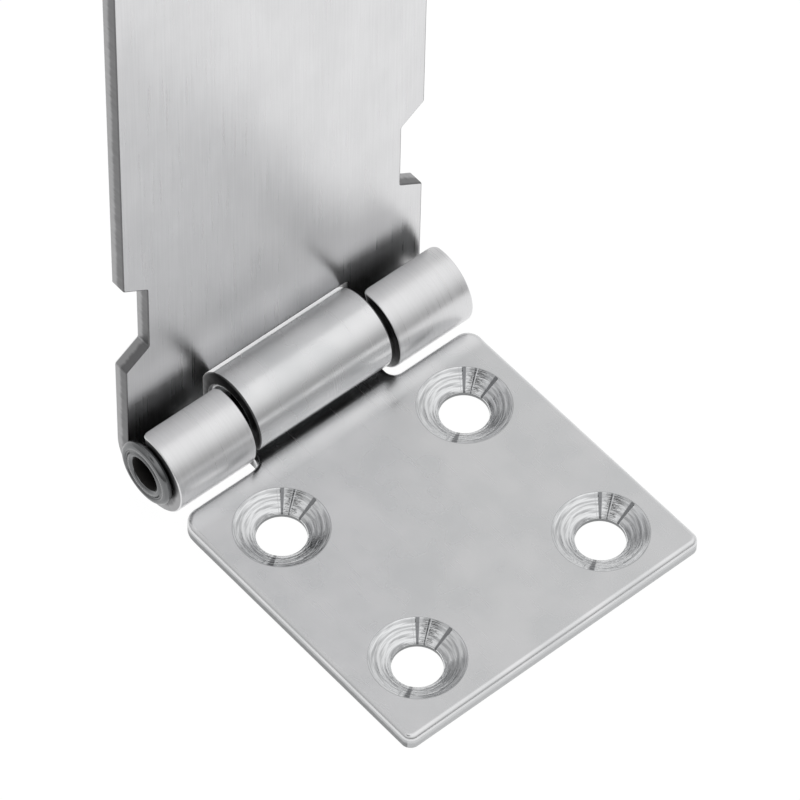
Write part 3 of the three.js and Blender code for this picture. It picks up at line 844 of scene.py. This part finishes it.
def make_loop(material):
    """The staple's rod, bent to a U, with the two tenons that are riveted through the plate."""
    reach = LOOP_SPACING / 2
    top = loop_high.z - ROD / 2 - reach
    foot = SHEET + SEAT_GAP
    line = [(reach, foot), *arc((0, top), reach, reach, 0, 180, BEND_STEPS), (-reach, foot)]
    points = [(0.0, plate_centre.y + y, z) for y, z in line]
    data = bpy.data.meshes.new("staple_loop_rod")
    data.from_pydata(points, [(k, k + 1) for k in range(len(points) - 1)], [])
    loop = linked("staple_loop_rod", data)
    shaped(loop, swept_rod_tree(material), {"Bar diameter": ROD})
    for polygon in loop.data.polygons:
        is_cap = len(polygon.vertices) == ROD_SIDES
        polygon.use_smooth = not is_cap
    joined = bmesh.new()
    joined.from_mesh(loop.data)
    for side in (-reach, reach):
        tenon = turned("tenon", [
            (0.0, RIVET_RECESS), (RIVET_HEAD / 2 - SUPPORT, RIVET_RECESS),
            (RIVET_HEAD / 2, RIVET_RECESS + SUPPORT), (TENON / 2, RIVET_RECESS + RIVET_HEAD_DEPTH),
            (TENON / 2, foot + SEAT_GAP), (0.0, foot + SEAT_GAP)])
        tenon.data.transform(Matrix.Translation((0, plate_centre.y + side, 0)))
        joined.from_mesh(tenon.data)
        bpy.data.objects.remove(tenon)
    joined.to_mesh(loop.data)
    joined.free()
    return loop


def ride_as(piece, body, node):
    """The piece stands for one CAD node, on its body."""
    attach(piece, body)
    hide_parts(node)


def make_hasp():
    """Makes the five pieces. Each list of finishes is in the order of the finish numbers."""
    satin = satin_sheet()
    cone = cut_cone()
    # the side edges' colours are darkened as painted shade, and the front edge's are lightened as a
    # painted highlight
    shaded_side_edge = sheared_edge("tumbled punched edge, painted shade", "828384", "b8b9ba")
    lit_front_edge = sheared_edge("front punched edge, painted highlight", "b4b5b6", "c8c9ca")
    strap_edge = sheared_edge("raw punched edge", "9c9c9d", "6e6e6f")
    # near black on the centre knuckle's edges: painted shade between the knuckles
    shaded_knuckle_edge = sheared_edge("knuckle punched edge, painted shade", "5a5a5b", "464647")
    leaf_finishes = [satin, shaded_side_edge, cone, lit_front_edge, shaded_knuckle_edge]
    ride_as(make_leaf(leaf_finishes), "root", "base_leaf")
    ride_as(make_strap([brushed_sheet(), strap_edge]), "strap", "hasp_strap")
    ride_as(make_pin(drawn_tube(), bore_shade_and_scale()), "root", "hinge_pin")
    ride_as(make_plate([satin, shaded_side_edge, cone]), "root", "staple_plate")
    ride_as(make_loop(polished_rod()), "root", "staple_loop")


# Studio

def make_floor():
    """A wide table, just below the face that is screwed down."""
    reach = 3.0
    drop = 0.2 * MM
    data = bpy.data.meshes.new("table")
    data.from_pydata([(-reach, -reach, -drop), (reach, -reach, -drop), (reach, reach, -drop),
                      (-reach, reach, -drop)], [], [(0, 1, 2, 3)])
    data.materials.append(backlit_table())
    linked("table", data)


def make_studio_light():
    """A white tent: brightest overhead, dimmer towards the horizon and behind, and dimmest low in
    front on the left, with one dark opening high on the left. The camera sees plain white."""
    world = bpy.data.worlds.new("white tent")
    world.use_nodes = True
    bpy.context.scene.world = world
    tree = world.node_tree
    tree.nodes.clear()
    towards = add(tree, "ShaderNodeTexCoord").outputs["Generated"]
    split = add(tree, "ShaderNodeSeparateXYZ", {"Vector": towards})
    wall = add(tree, "ShaderNodeVectorMath", {0: towards, 1: WALL_SLOPE},
               operation="DOT_PRODUCT")
    horizon = add(tree, "ShaderNodeMath", {0: wall.outputs["Value"], 1: WALL_LIGHT},
                  operation="ADD")
    overhead = add(tree, "ShaderNodeMapRange", {
        "Value": split.outputs["Y"], "From Min": 0.0, "From Max": 0.5,
        "To Min": ROOF_LIGHT, "To Max": BACK_ROOF_LIGHT}, interpolation_type="SMOOTHSTEP")
    level = add(tree, "ShaderNodeMapRange", {
        "Value": split.outputs["Z"], "From Min": 0.05, "From Max": 0.95,
        "To Min": horizon.outputs[0], "To Max": overhead.outputs["Result"]},
        interpolation_type="SMOOTHSTEP")
    opening = add(tree, "ShaderNodeVectorMath", {0: towards, 1: OPENING_TOWARDS},
                  operation="DOT_PRODUCT")
    dark = add(tree, "ShaderNodeMapRange", {
        "Value": opening.outputs["Value"], "From Min": math.cos(math.radians(15)),
        "From Max": math.cos(math.radians(10)), "To Min": 1.0, "To Max": OPENING_LIGHT})
    light = add(tree, "ShaderNodeMath", {0: level.outputs["Result"], 1: dark.outputs["Result"]},
                operation="MULTIPLY")
    tent = add(tree, "ShaderNodeBackground", {"Strength": light.outputs[0]})
    plain = add(tree, "ShaderNodeBackground", {"Strength": 1.0})
    for node in (tent, plain):
        node.inputs["Color"].default_value = (1.0, 1.0, 1.0, 1.0)
    seen = add(tree, "ShaderNodeLightPath").outputs["Is Camera Ray"]
    shown = add(tree, "ShaderNodeMixShader", {0: seen, 1: tent.outputs[0], 2: plain.outputs[0]})
    add(tree, "ShaderNodeOutputWorld", {"Surface": shown.outputs[0]})


def make_camera():
    """Looks down on the barrel from in front and to the left."""
    azimuth, elevation, roll = (math.radians(a) for a in (-41.62, 52.05, 1.42))
    distance = 663.46 * MM
    aim = Vector((4.33, 12.20, 9.35)) * MM
    camera = linked("camera", bpy.data.cameras.new("camera"))
    back = Vector((math.sin(azimuth) * math.cos(elevation),
                   -math.cos(azimuth) * math.cos(elevation), math.sin(elevation)))
    camera.data.lens = 272.85
    camera.data.clip_end = 10.0
    camera.location = aim + back * distance
    camera.rotation_mode = "QUATERNION"
    level = back.to_track_quat("Z", "Y")
    camera.rotation_quaternion = level @ Matrix.Rotation(roll, 3, "Z").to_quaternion()
    bpy.context.scene.camera = camera


make_camera()
make_hasp()
make_floor()
make_studio_light()
bpy.context.scene.view_settings.view_transform = "Standard"
